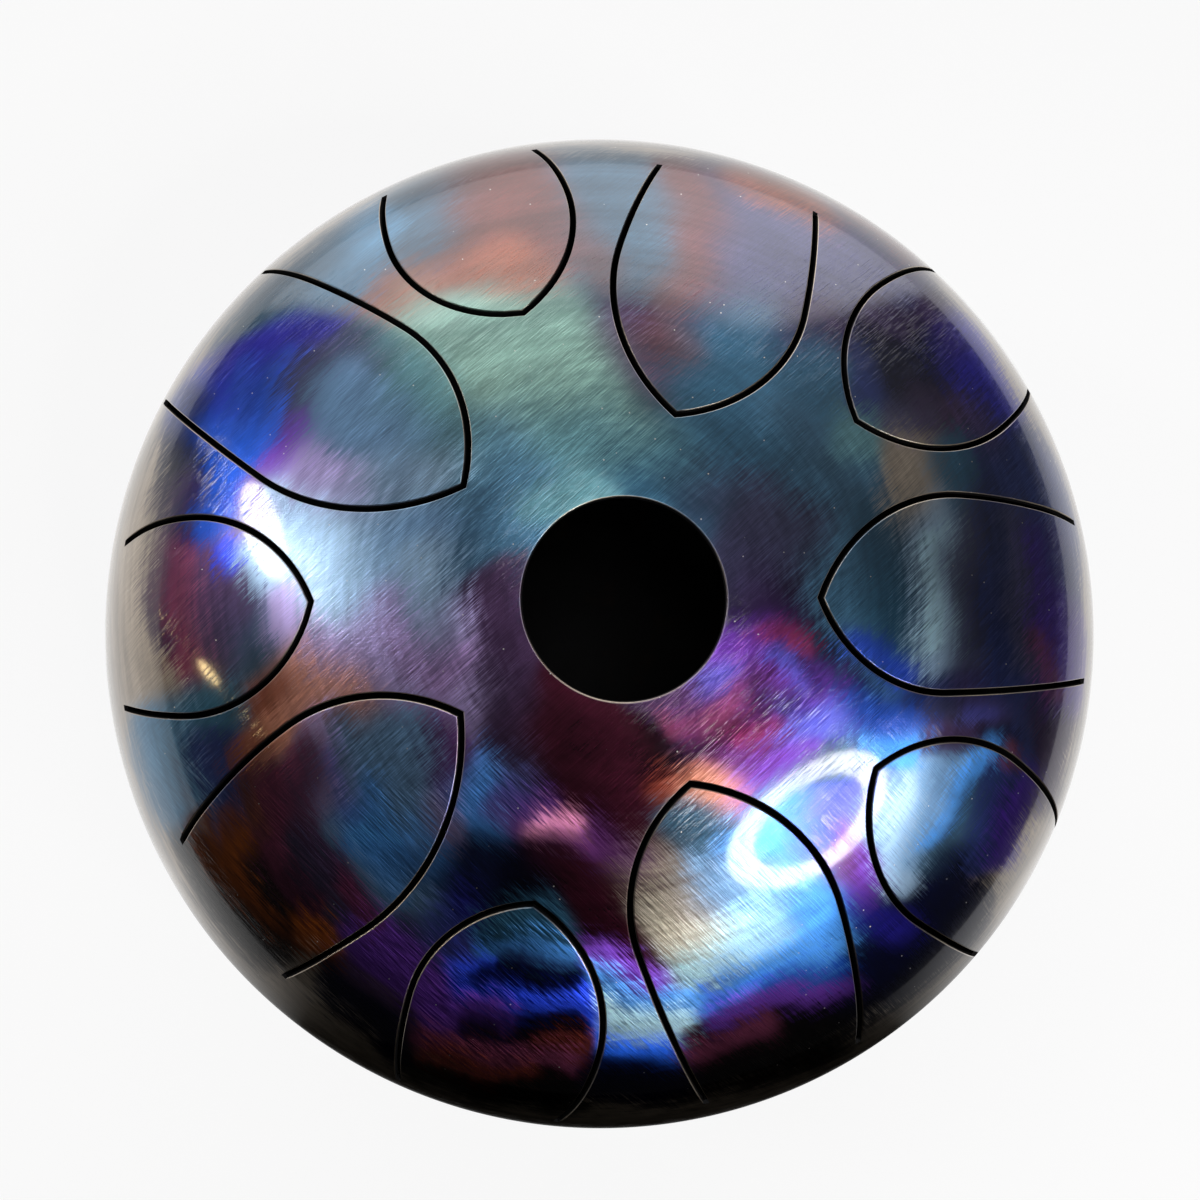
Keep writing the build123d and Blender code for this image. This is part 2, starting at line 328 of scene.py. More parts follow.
# How far hairs, bands and clouds dim or brighten the film
DIM = (0.55, 0.55, 0.57, 1)
PLAIN = (0.97, 0.97, 0.97, 1)
BRIGHT = (1.35, 1.35, 1.35, 1)
GLINT = (1.7, 1.7, 1.7, 1)
# The brush's two ways over the top, the radii between which its hairs turn to run round the girth instead, and
# how close hairs and bands lie along each axis
HAIR_ANGLES = (math.radians(-45), math.radians(42))
GIRTH_HAIR_RADII = (0.128, 0.140)
HAIR_CLOSENESS = (150.0, 4000.0, 150.0)
GIRTH_HAIR_CLOSENESS = (4000.0, 22.0, 22.0)
BAND_CLOSENESS = (75.0, 2.2, 2.2)
FINE_BAND_CLOSENESS = (420.0, 5.0, 5.0)
# How much of the height over the seam the bands' way out loses, how far slow waves bend it, and the way that
# the facets face where the brush bit hardest
BAND_RISE_SHARE = -0.8
BAND_WANDER = 0.022
FACET_WAY = (0.28, -0.09, 0.956)


def shaded(tree, tint, share, source, ends, top):
    """A tint dimmed at the low end of a source and brightened at its high end."""
    low, high = ends
    return mixed(tree, "MULTIPLY", share, tint, ramp(tree, source, (low, DIM), (0.5, PLAIN), (high, top)))


def heat_tinted(name, tint_of):
    """Brushed steel with an oxide film under clear lacquer, bare where its edges are filed.

    Soft bands run round the drum: their places are the direction and the way out along the sheet, which is the
    radius less most of the height over the seam, bent by slow waves. The brush left fine hairs over the top in
    two ways, each in its own patches, and round the girth on the steep sides. They carry the film's tints past
    their borders, brighten or darken them and ruffle the steel, and the deepest ruffle the lacquer as well.
    Where the brush bit hardest, the facets lean together.
    """
    material, tree, shader, place = new_finish(name)
    parts = add(tree, "ShaderNodeSeparateXYZ", {"Vector": place}).outputs
    flat = add(tree, "ShaderNodeCombineXYZ", {"X": parts["X"], "Y": parts["Y"]}).outputs["Vector"]
    radius = add(tree, "ShaderNodeVectorMath", {0: flat}, operation="LENGTH").outputs["Value"]
    outward = add(tree, "ShaderNodeVectorMath", {0: flat}, operation="NORMALIZE").outputs["Vector"]
    ways = add(tree, "ShaderNodeSeparateXYZ", {"Vector": outward}).outputs

    def round_drum(way, closeness, roughness):
        """Noise that runs round the drum, for its places are a way out or up and the direction."""
        run = add(tree, "ShaderNodeCombineXYZ", {"X": way, "Y": ways["X"], "Z": ways["Y"]}).outputs["Vector"]
        return noise(tree, stretched(tree, run, closeness), 1.0, 2.0, roughness)

    rise = work_out(tree, "ABSOLUTE", work_out(tree, "SUBTRACT", parts["Z"], SEAM_Z))
    way_out = work_out(tree, "MULTIPLY_ADD", rise, BAND_RISE_SHARE, radius)
    way_out = work_out(tree, "MULTIPLY_ADD", noise(tree, place, 9.0, 1.0), BAND_WANDER, way_out)
    bands = round_drum(way_out, BAND_CLOSENESS, 0.5)
    fine_bands = round_drum(way_out, FINE_BAND_CLOSENESS, 0.5)
    clouds = noise(tree, place, 26.0, 3.0, 0.5)
    hairs = []
    for angle in HAIR_ANGLES:
        turned = add(tree, "ShaderNodeVectorRotate", {"Vector": place, "Angle": -angle}, rotation_type="Z_AXIS")
        hairs.append(noise(tree, stretched(tree, turned.outputs[0], HAIR_CLOSENESS), 1.0, 2.0, 0.6))
    backward = work_out(tree, "MULTIPLY_ADD", parts["Y"], 9.0, 0.40)
    patch = work_out(tree, "ADD", noise(tree, place, 22.0, 2.0, 0.5), backward)
    hair = mixed(tree, "MIX", spread(tree, patch, 0.44, 0.56, 0.0, 1.0), *hairs)
    girth_hair = round_drum(parts["Z"], GIRTH_HAIR_CLOSENESS, 0.6)
    hair = mixed(tree, "MIX", spread(tree, radius, *GIRTH_HAIR_RADII, 0.0, 1.0), hair, girth_hair)
    tint = tint_of(tree, bands, clouds, weighed(tree, fine_bands, 0.3, hair, 0.7))
    tint = shaded(tree, tint, 0.7, weighed(tree, bands, 0.5, clouds, 0.5), (0.38, 0.62), BRIGHT)
    tint = shaded(tree, tint, 0.24, fine_bands, (0.34, 0.66), BRIGHT)
    tint = shaded(tree, tint, 0.4, hair, (0.34, 0.68), GLINT)
    specks = add(tree, "ShaderNodeTexVoronoi", {"Vector": place, "Scale": 220.0, "Randomness": 1.0})
    speck = spread(tree, specks.outputs["Distance"], 0.025, 0.05, 0.8, 0.0)
    tint = mixed(tree, "MIX", speck, tint, BARE_STEEL)
    past_edge = spread(tree, painted(tree, "depth_share", "Fac"), 0.004, 0.03, 0.0, 1.0)
    worn = times(tree, past_edge, spread(tree, clouds, 0.42, 0.58, 0.15, 1.0))
    lean = times(tree, painted(tree, "lean_share", "Fac"), spread(tree, hair, 0.35, 0.65, 0.5, 1.0))
    ways_to_face = {0: lean, 4: bumped(tree, hair, 0.36), 5: FACET_WAY}
    leaning = add(tree, "ShaderNodeMix", ways_to_face, data_type="VECTOR").outputs[1]
    deep_hair = spread(tree, hair, 0.57, 0.72, 0.0, 1.0)
    feed(tree, shader, {
        "Base Color": mixed(tree, "MIX", worn, tint, FILED_STEEL),
        "Metallic": 1.0,
        "Roughness": spread(tree, hair, 0.3, 0.7, 0.29, 0.37),
        "Normal": add(tree, "ShaderNodeVectorMath", {0: leaning}, operation="NORMALIZE").outputs["Vector"],
        "Coat Weight": 1.0,
        "Coat Roughness": 0.07,
        "Coat IOR": 1.5,
        "Coat Normal": bumped(tree, deep_hair, 0.13),
    })
    return material


def oven_film(tree, bands, clouds, drift):
    """The lower shell's film: temper colours in broad rings and clouds, mostly past blue."""
    film = weighed(tree, bands, 0.55, clouds, 0.55)
    return ramp(
        tree,
        film,
        (0.34, linear(110, 66, 52)),
        (0.44, linear(96, 46, 92)),
        (0.52, linear(54, 48, 140)),
        (0.60, linear(52, 84, 150)),
        (0.70, linear(84, 118, 140)),
    )


finish_sheet(lower_shell, -1, heat_tinted("blued_steel", oven_film))

# Rubber feet: three black moulded buffers that keep the shell off the table. Each is seated on the lower
# crown, leans with it, is ground flat to the floor, and has a recess for the head of its screw.
FOOT_COUNT = 3
FOOT_FIRST_AZIMUTH = math.radians(90)
FOOT_CIRCLE_RADIUS = 0.072
FOOT_TOP_RADIUS = 0.013
FOOT_BOTTOM_RADIUS = 0.011
FOOT_WEB = 0.004
FOOT_BORE = 0.0021
FOOT_RECESS = 0.0050
FOOT_EDGE = 0.0008
FOOT_FLASH = 0.00018
FOOT_FLASH_SHARE = 0.5
FOOT_SIDE_SHARES = (0.16, 0.30, 0.44, 0.485, FOOT_FLASH_SHARE, 0.515, 0.56, 0.70, 0.84)
FOOT_TILT = math.asin(FOOT_CIRCLE_RADIUS / CROWN_RADIUS)
FOOT_DROP = SEAM_Z - SKIRT_HEIGHT + CROWN_DROP - CROWN_RADIUS * math.cos(FOOT_TILT)
FOOT_COLUMNS = 96


def foot_profile():
    """Stations round a foot's section: radius, share of the way from seat to floor, and lift off that place.

    They run from the bore over the seat, round its edge, down the side past the mould's flash line, round the
    lower edge, in under the floor face, up the recess and across its roof to the bore.
    """
    turn = np.linspace(0.0, math.pi / 2, 6)
    slope, edge, lip_edge = FOOT_BOTTOM_RADIUS - FOOT_TOP_RADIUS, FOOT_EDGE, FOOT_EDGE / 2
    seat = [(radius, 0.0, 0.0) for radius in np.linspace(FOOT_BORE, FOOT_TOP_RADIUS - edge, 6)]
    top = [(FOOT_TOP_RADIUS - edge * (1 - math.sin(a)), 0.0, edge * (1 - math.cos(a))) for a in turn[1:]]
    side = [
        (FOOT_TOP_RADIUS + slope * share + FOOT_FLASH * (share == FOOT_FLASH_SHARE), share, 0.0)
        for share in FOOT_SIDE_SHARES
    ]
    bottom = [(FOOT_BOTTOM_RADIUS - edge * (1 - math.cos(a)), 1.0, -edge * (1 - math.sin(a))) for a in turn]
    lip = [(FOOT_RECESS + lip_edge * (1 - math.sin(a)), 1.0, -lip_edge * (1 - math.cos(a))) for a in turn]
    roof = [(FOOT_RECESS, 0.0, FOOT_WEB), (FOOT_BORE, 0.0, FOOT_WEB), (FOOT_BORE, 0.0, 0.0)]
    return np.array(seat + top + side + bottom + lip + roof).T


def rubber_foot(number):
    """One foot: its section turned about its own leaning axis, with the seat on the crown's sphere and the
    lower face cut level with the floor."""
    radius, share, lift = (values[:, None] for values in foot_profile())
    turn = np.linspace(0.0, 2 * math.pi, FOOT_COLUMNS, endpoint=False)[None, :]
    x, y = radius * np.cos(turn), radius * np.sin(turn)
    seat = np.sqrt(CROWN_RADIUS**2 - radius**2) - CROWN_RADIUS
    floor = (FOOT_DROP - math.sin(FOOT_TILT) * x) / math.cos(FOOT_TILT)
    z = seat * (1 - share) + floor * share + lift
    out = FOOT_CIRCLE_RADIUS - math.cos(FOOT_TILT) * x + math.sin(FOOT_TILT) * z
    up = FOOT_DROP - math.sin(FOOT_TILT) * x - math.cos(FOOT_TILT) * z
    azimuth = FOOT_FIRST_AZIMUTH + number * 2 * math.pi / FOOT_COUNT
    cosine, sine = math.cos(azimuth), math.sin(azimuth)
    points = np.stack([out * cosine - y * sine, out * sine + y * cosine, up], -1)
    down_section = np.gradient(points, axis=0)
    round_axis = np.roll(points, -1, 1) - np.roll(points, 1, 1)
    normals = np.cross(round_axis, down_section)
    normals /= np.linalg.norm(normals, axis=-1, keepdims=True) + 1e-12
    middle = points.reshape(-1, 3).mean(0)
    outermost = np.argmax(radius)
    if np.sum(normals[outermost] * (points[outermost] - middle)) < 0:
        normals = -normals
    return joined(f"rubber_foot_{number + 1}_buffer", cells(points, normals, True), exact=False)


feet = [rubber_foot(number) for number in range(FOOT_COUNT)]
for number, foot in enumerate(feet):
    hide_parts(f"rubber_foot_{number + 1}")
    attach(foot, "shell")


def moulded_rubber():
    """Black rubber: dull, a little grey with bloom and dust, with the mould's fine spark texture."""
    material, tree, shader, place = new_finish("foot_rubber")
    bloom = noise(tree, place, 160.0, 4.0)
    black, grey, dusty = linear(22, 22, 23), linear(34, 34, 35), linear(54, 53, 52)
    feed(tree, shader, {
        "Base Color": ramp(tree, bloom, (0.35, black), (0.60, grey), (0.78, dusty)),
        "Roughness": spread(tree, bloom, 0.3, 0.7, 0.55, 0.8),
        "Normal": bumped(tree, noise(tree, place, 2600.0, 2.0), 0.25),
    })
    return material


foot_rubber = moulded_rubber()
for foot in feet:
    foot.data.materials.append(foot_rubber)

# Foot fasteners: an M4 socket screw through each foot, a washer moulded into its rubber, and a washer and a
# nut inside the shell. All are zinc-plated steel, turned or stamped, and stay as they were made.
def zinc_plate():
    """Bright zinc: a cool grey with faint clouding, fine turning marks and a soft shine."""
    material, tree, shader, place = new_finish("zinc_plated_steel")
    clouding = noise(tree, place, 420.0, 4.0)
    dull, plain, yellowed = linear(150, 154, 160), linear(186, 188, 190), linear(206, 202, 190)
    marks = noise(tree, stretched(tree, place, (900.0, 900.0, 7000.0)), 1.0, 2.0)
    feed(tree, shader, {
        "Base Color": ramp(tree, clouding, (0.35, dull), (0.55, plain), (0.75, yellowed)),
        "Metallic": 1.0,
        "Roughness": spread(tree, clouding, 0.3, 0.7, 0.28, 0.45),
        "Normal": bumped(tree, marks, 0.08, 0.0001),
    })
    return material


zinc = zinc_plate()
for name in ("foot_insert_washers", "foot_screws", "foot_washers", "foot_nuts"):
    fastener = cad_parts[name]
    fastener.data.materials.clear()
    fastener.data.materials.append(zinc)

# Upper shell: the playing half, the same pressed dish with a round sound hole in its crown and ten slits
# sawn right through by hand. Their edges are filed smooth, and the heat left bands of temper colours.
SOUND_HOLE_RADIUS = 0.025
SOUND_HOLE_EDGE = 0.0005
SLIT_WIDTH = 0.0015
SLIT_EDGE = 0.00035
SLIT_FADE = 0.002
WINDOW_OFFSET = SLIT_WIDTH / 2 + SLIT_EDGE
EDGE_STATIONS = 4
TONGUE_COUNT = 10
LONG_TIP_SHARE = 0.188
SHORT_TIP_SHARE = 0.58
ROOT_SHARE = 0.128
SHOULDER_SHARE = 0.561
TONGUE_SPAN = RIM_RADIUS - SOUND_HOLE_RADIUS
LONG_TIP_GAP = TONGUE_SPAN * LONG_TIP_SHARE
SHORT_TIP_INSET = TONGUE_SPAN * SHORT_TIP_SHARE
ROOT_INSET = TONGUE_SPAN * ROOT_SHARE
SHOULDER_HALF_WIDTH = RIM_RADIUS * math.sin(math.pi / TONGUE_COUNT) * SHOULDER_SHARE
HEAD_LENGTH = 0.038
ROOT_TAPER = 0.004
UPPER_ROW = 0.0016
SECTOR_COLUMNS = 17
TONGUE_COLUMNS = 25

# Each row is one tongue: its azimuth, the shares of the tip gap or inset and of the root inset, then those
# of head length, shoulder half width and root taper on its counter-clockwise and clockwise sides
LONG_ROWS = [
    (0.5, 1.03, 0.95, (1.10, 1.08, 1.25), (0.91, 0.93, 0.65)),
    (74.0, 1.00, 1.47, (1.13, 1.00, 1.05), (1.03, 1.02, 0.73)),
    (144.5, 1.00, 0.55, (1.21, 1.05, 0.50), (1.03, 1.00, 1.25)),
    (215.0, 1.00, 1.21, (1.37, 1.16, 0.40), (1.00, 0.87, 1.90)),
    (289.5, 0.97, 0.92, (1.13, 1.03, 1.23), (0.95, 0.99, 1.03)),
]
SHORT_ROWS = [
    (37.5, 1.00, 0.59, (0.95, 1.01, 1.20), (1.00, 1.00, 0.70)),
    (108.5, 0.98, 0.91, (0.88, 1.07, 1.03), (0.94, 0.91, 0.88)),
    (180.0, 1.00, 0.90, (0.93, 1.10, 0.63), (0.92, 0.89, 1.43)),
    (253.5, 1.00, 0.59, (1.00, 1.06, 1.15), (0.86, 0.90, 0.78)),
    (326.5, 1.01, 0.40, (0.92, 0.92, 1.35), (0.93, 1.02, 0.48)),
]


def tongue(name, tip_x, row):
    """A tongue's own plan: each side is a head arc and a run arc that meet at the shoulder, both along the
    axis there; an arc's radius follows from its length along the axis and its rise across it."""
    azimuth, _, inset_share, *side_shares = row
    root = RIM_RADIUS - ROOT_INSET * inset_share
    sides = []
    for head_share, shoulder_share, taper_share in side_shares:
        head, half = HEAD_LENGTH * head_share, SHOULDER_HALF_WIDTH * shoulder_share
        taper = ROOT_TAPER * taper_share
        shoulder = tip_x + head
        run = root - shoulder
        sides.append((shoulder, half, (head**2 + half**2) / (2 * half), (run**2 + taper**2) / (2 * taper)))
    return SimpleNamespace(name=name, azimuth=math.radians(azimuth), root=root, sides=sides)


def side_line(side, radius, offset):
    """Angle off the tongue's axis at which a line beside the slit lies at a radius, and its outward way.

    The line keeps the slit's arc centres and adds the offset to their radii. The place comes from the
    triangle of the drum's axis, the arc's centre and the point. Inside the shoulder the head arc holds, and
    outside it the run arc.
    """
    shoulder, half, head_arc, run_arc = side
    arc = np.where(radius < np.hypot(shoulder, half + offset), head_arc, run_arc)
    drop, reach = arc - half, arc + offset
    span = np.hypot(shoulder, drop)
    cosine = np.clip((radius**2 - span**2 - reach**2) / (2 * span * reach), -1.0, 1.0)
    turn = np.arccos(cosine) - np.arctan2(drop, shoulder)
    return np.arctan2(reach * np.sin(turn) - drop, shoulder + reach * np.cos(turn)), turn


def tip_radius(member, offset):
    """Radius of the tip of a line beside the slit, where its two head arcs cross on the axis's side."""
    (ahead, half, arc, _), (behind, other_half, other_arc, _) = member.sides
    gap = np.array([behind - ahead, (other_arc - other_half) - (half - arc)])
    length = np.hypot(*gap)
    near, far = arc + offset, other_arc + offset
    along = (length**2 + near**2 - far**2) / (2 * length)
    out = math.sqrt(near**2 - along**2)
    foot = np.array([ahead, half - arc]) + gap * along / length
    return np.hypot(*(foot - out * np.array([gap[1], -gap[0]]) / length))


def reach_at(radius):
    """The way along the dish's outside at which it has a radius."""
    knuckle = np.clip((radius - RIM_RADIUS + KNUCKLE_RADIUS) / KNUCKLE_RADIUS, -1.0, 1.0)
    on_knuckle = CROWN_REACH + KNUCKLE_RADIUS * (np.arcsin(knuckle) - CROWN_ANGLE)
    on_crown = CROWN_RADIUS * np.arcsin(radius / CROWN_RADIUS)
    return np.where(radius < CROWN_RADIUS * math.sin(CROWN_ANGLE), on_crown, on_knuckle)


def filed(member, radius):
    """How far a slit's edge is filed back: even along the slit, fading out just before the root."""
    return SLIT_EDGE * np.clip((member.root - radius) / SLIT_FADE, 0.0, 1.0)


def over_edge(edge):
    """Stations over the sheet's edge from outside to inside: a quarter turn, the wall and a quarter turn.

    Gives each station's distance back from the wall, its depth in the sheet, and its turn.
    """
    entry = np.linspace(0.0, math.pi / 2, EDGE_STATIONS)
    turn = np.concatenate([entry, np.linspace(math.pi / 2, math.pi, EDGE_STATIONS)])
    entering = np.arange(len(turn)) < EDGE_STATIONS
    depth = np.where(entering, edge * (1 - np.cos(turn)), SHEET - edge * (1 + np.cos(turn)))
    return edge * (1 - np.sin(turn)), depth, turn


def slit_edge(member, hand, radius, away):
    """The sheet's edge along one side of a slit: rows go from tip to root, columns over the edge.

    Away is 1 for the shell, outside the slit's middle line, and -1 for the tongue, inside it. Each station
    keeps its own tip, so the two sides of a point meet in a mitre.
    """
    side = member.sides[0 if hand > 0 else 1]
    share = ((member.root - radius) / (member.root - radius[0]))[:, None]
    back, depth, turn = over_edge(filed(member, radius)[:, None])
    full_back = over_edge(SLIT_EDGE)[0]
    tips = np.array([tip_radius(member, away * (SLIT_WIDTH / 2 + value)) for value in full_back])
    line_radius = member.root - (member.root - tips) * share
    angle, facing = side_line(side, line_radius, away * (SLIT_WIDTH / 2 + back))
    points, face_normals = around(dish(reach_at(line_radius), depth), member.azimuth + hand * angle)
    facing = member.azimuth + hand * facing
    wall = -away * placed(1.0, facing, 0.0)
    normals = np.cos(turn)[None, :, None] * face_normals + np.sin(turn)[None, :, None] * wall
    return cells(points, normals)


def window_side(member, hand, radius):
    """Azimuth of one side of a window at each radius: the tip's inside the tip, then the filed line's, then
    the root corner's out to the rim."""
    within = np.clip(radius, tip_radius(member, WINDOW_OFFSET), member.root)
    side = member.sides[0 if hand > 0 else 1]
    return member.azimuth + hand * side_line(side, within, SLIT_WIDTH / 2 + filed(member, within))[0]


def root_columns(member):
    """Azimuths across a root: a window corner, the tongue from corner to corner, the other window corner."""
    (ccw, _), (cw, _) = (side_line(side, member.root, -SLIT_WIDTH / 2) for side in member.sides)
    across = np.linspace(member.azimuth - cw, member.azimuth + ccw, TONGUE_COLUMNS)
    ends = [window_side(member, hand, np.array(member.root)) for hand in (-1, 1)]
    return np.concatenate([[ends[0]], across, [ends[1]]])


long_tongues = [
    tongue(f"long_tongue_{number}", SOUND_HOLE_RADIUS + LONG_TIP_GAP * row[1], row)
    for number, row in enumerate(LONG_ROWS, 1)
]
short_tongues = [
    tongue(f"short_tongue_{number}", RIM_RADIUS - SHORT_TIP_INSET * row[1], row)
    for number, row in enumerate(SHORT_ROWS, 1)
]
tongues = sorted(long_tongues + short_tongues, key=lambda member: member.azimuth)
knot_radii = [SOUND_HOLE_RADIUS + SOUND_HOLE_EDGE]
knot_radii += [tip_radius(member, WINDOW_OFFSET) for member in tongues]
knot_radii += [member.root for member in tongues]
knots = [CROWN_REACH, KNUCKLE_REACH, GROOVE_REACH, DISH_REACH]
knots += [float(reach_at(radius)) for radius in knot_radii]
upper_reach = steps(knots, UPPER_ROW)
upper_radius = dish(upper_reach, 0.0)[0]


def sheet_patches(reach, azimuth):
    """The outside and the inside of a stretch of sheet by its rows' reaches and its columns' azimuths, and the
    face at its rim."""
    outer, outer_normals = around(dish(reach, groove(reach)), azimuth)
    inner, inner_normals = around(dish(reach, SHEET), azimuth)
    bottom = np.stack([outer[-1], inner[-1]])
    rim_face = cells(bottom, np.broadcast_to([0.0, 0.0, -1.0], bottom.shape))
    return [cells(outer, outer_normals), cells(inner, -inner_normals)], rim_face


faces, edges, hole_azimuths = [], [], []
for member, following in zip(tongues, tongues[1:] + tongues[:1]):
    wrap = 2 * math.pi * (following.azimuth < member.azimuth)
    left = window_side(member, 1, upper_radius)[:, None]
    right = window_side(following, -1, upper_radius)[:, None] + wrap
    sector = left + (right - left) * np.linspace(0.0, 1.0, SECTOR_COLUMNS)[None, :]
    hole_azimuths.append(sector[0, :-1])
    both, rim_face = sheet_patches(upper_reach[:, None], sector)
    faces += both
    edges.append(rim_face)
    columns = root_columns(member)[None, :]
    outer_rows = upper_radius > member.root - MERGE
    both, rim_face = sheet_patches(upper_reach[outer_rows][:, None], columns)
    faces += both
    front = np.array([0.0, SHEET])[:, None]
    front_points, _ = around(dish(reach_at(np.full((2, 1), member.root)), front), columns)
    inward = placed(-1.0, columns, 0.0)
    edges += [rim_face, cells(front_points, np.broadcast_to(inward, front_points.shape))]
    tip = tip_radius(member, WINDOW_OFFSET)
    along = (upper_radius > tip - MERGE) & (upper_radius < member.root + MERGE)
    edges += [slit_edge(member, hand, upper_radius[along], 1) for hand in (1, -1)]
hole_back, hole_depth, hole_turn = (values[:, None] for values in over_edge(SOUND_HOLE_EDGE))
hole_azimuth = np.concatenate(hole_azimuths)[None, :]
hole_points, hole_normals = around(dish(reach_at(SOUND_HOLE_RADIUS + hole_back), hole_depth), hole_azimuth)
hole_wall = placed(-1.0, hole_azimuth, 0.0)
hole_normals = np.cos(hole_turn)[..., None] * hole_normals + np.sin(hole_turn)[..., None] * hole_wall
upper_shell = joined("upper_shell_sheet", *faces, *edges, cells(hole_points, hole_normals, True))
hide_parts("upper_shell")
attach(upper_shell, "shell")

# The temper colours, and how they lie: under each tint stand its passes of torch and brush, each by azimuth in
# degrees and radius in millimetres at its two ends, its half width, and the lean of its facets where they lean.
# The sky and haze tints are not film: they are painted highlights and painted reflections of the lamps and the
# room.
# The pale pink is a painted highlight where the magenta film catches the ring lamp.
STEEL_TINTS = {
    "cream": linear(190, 180, 160), "taupe": linear(142, 130, 116), "copper": linear(215, 142, 112),
    "fawn": linear(204, 144, 126), "lilac": linear(176, 124, 190), "sienna": linear(130, 74, 56),
    "umber": linear(140, 70, 22), "rust": linear(120, 50, 36), "rosewood": linear(88, 48, 46),
    "maroon": linear(116, 52, 80), "wine": linear(138, 46, 84), "oxblood": linear(62, 19, 35),
    "plum": linear(74, 52, 84), "aubergine": linear(40, 22, 56), "magenta": linear(98, 48, 110),
    # pink is a painted highlight on the magenta film
    "pink_painted_highlight": linear(232, 146, 172), "mauve": linear(178, 160, 212), "violet": linear(110, 60, 170),
    "iris": linear(84, 88, 190), "indigo": linear(40, 34, 150), "lapis": linear(44, 84, 186),
    "royal": linear(40, 70, 220), "cobalt": linear(24, 72, 172), "azure": linear(80, 156, 240),
    # sky and haze are not film: they are painted highlights and painted reflections
    "sky": linear(196, 240, 252), "painted_reflection_haze": linear(156, 186, 214), "slate": linear(104, 140, 176),
    "steel": linear(68, 108, 136), "petrol": linear(46, 88, 114), "storm": linear(52, 78, 97),
    "smoke": linear(58, 58, 86), "teal": linear(88, 132, 140), "sage": linear(124, 158, 147),
    "navy": linear(34, 46, 96), "dusk": linear(56, 26, 122), "ink": linear(6, 9, 40),
    "pitch": linear(10, 7, 9),
}
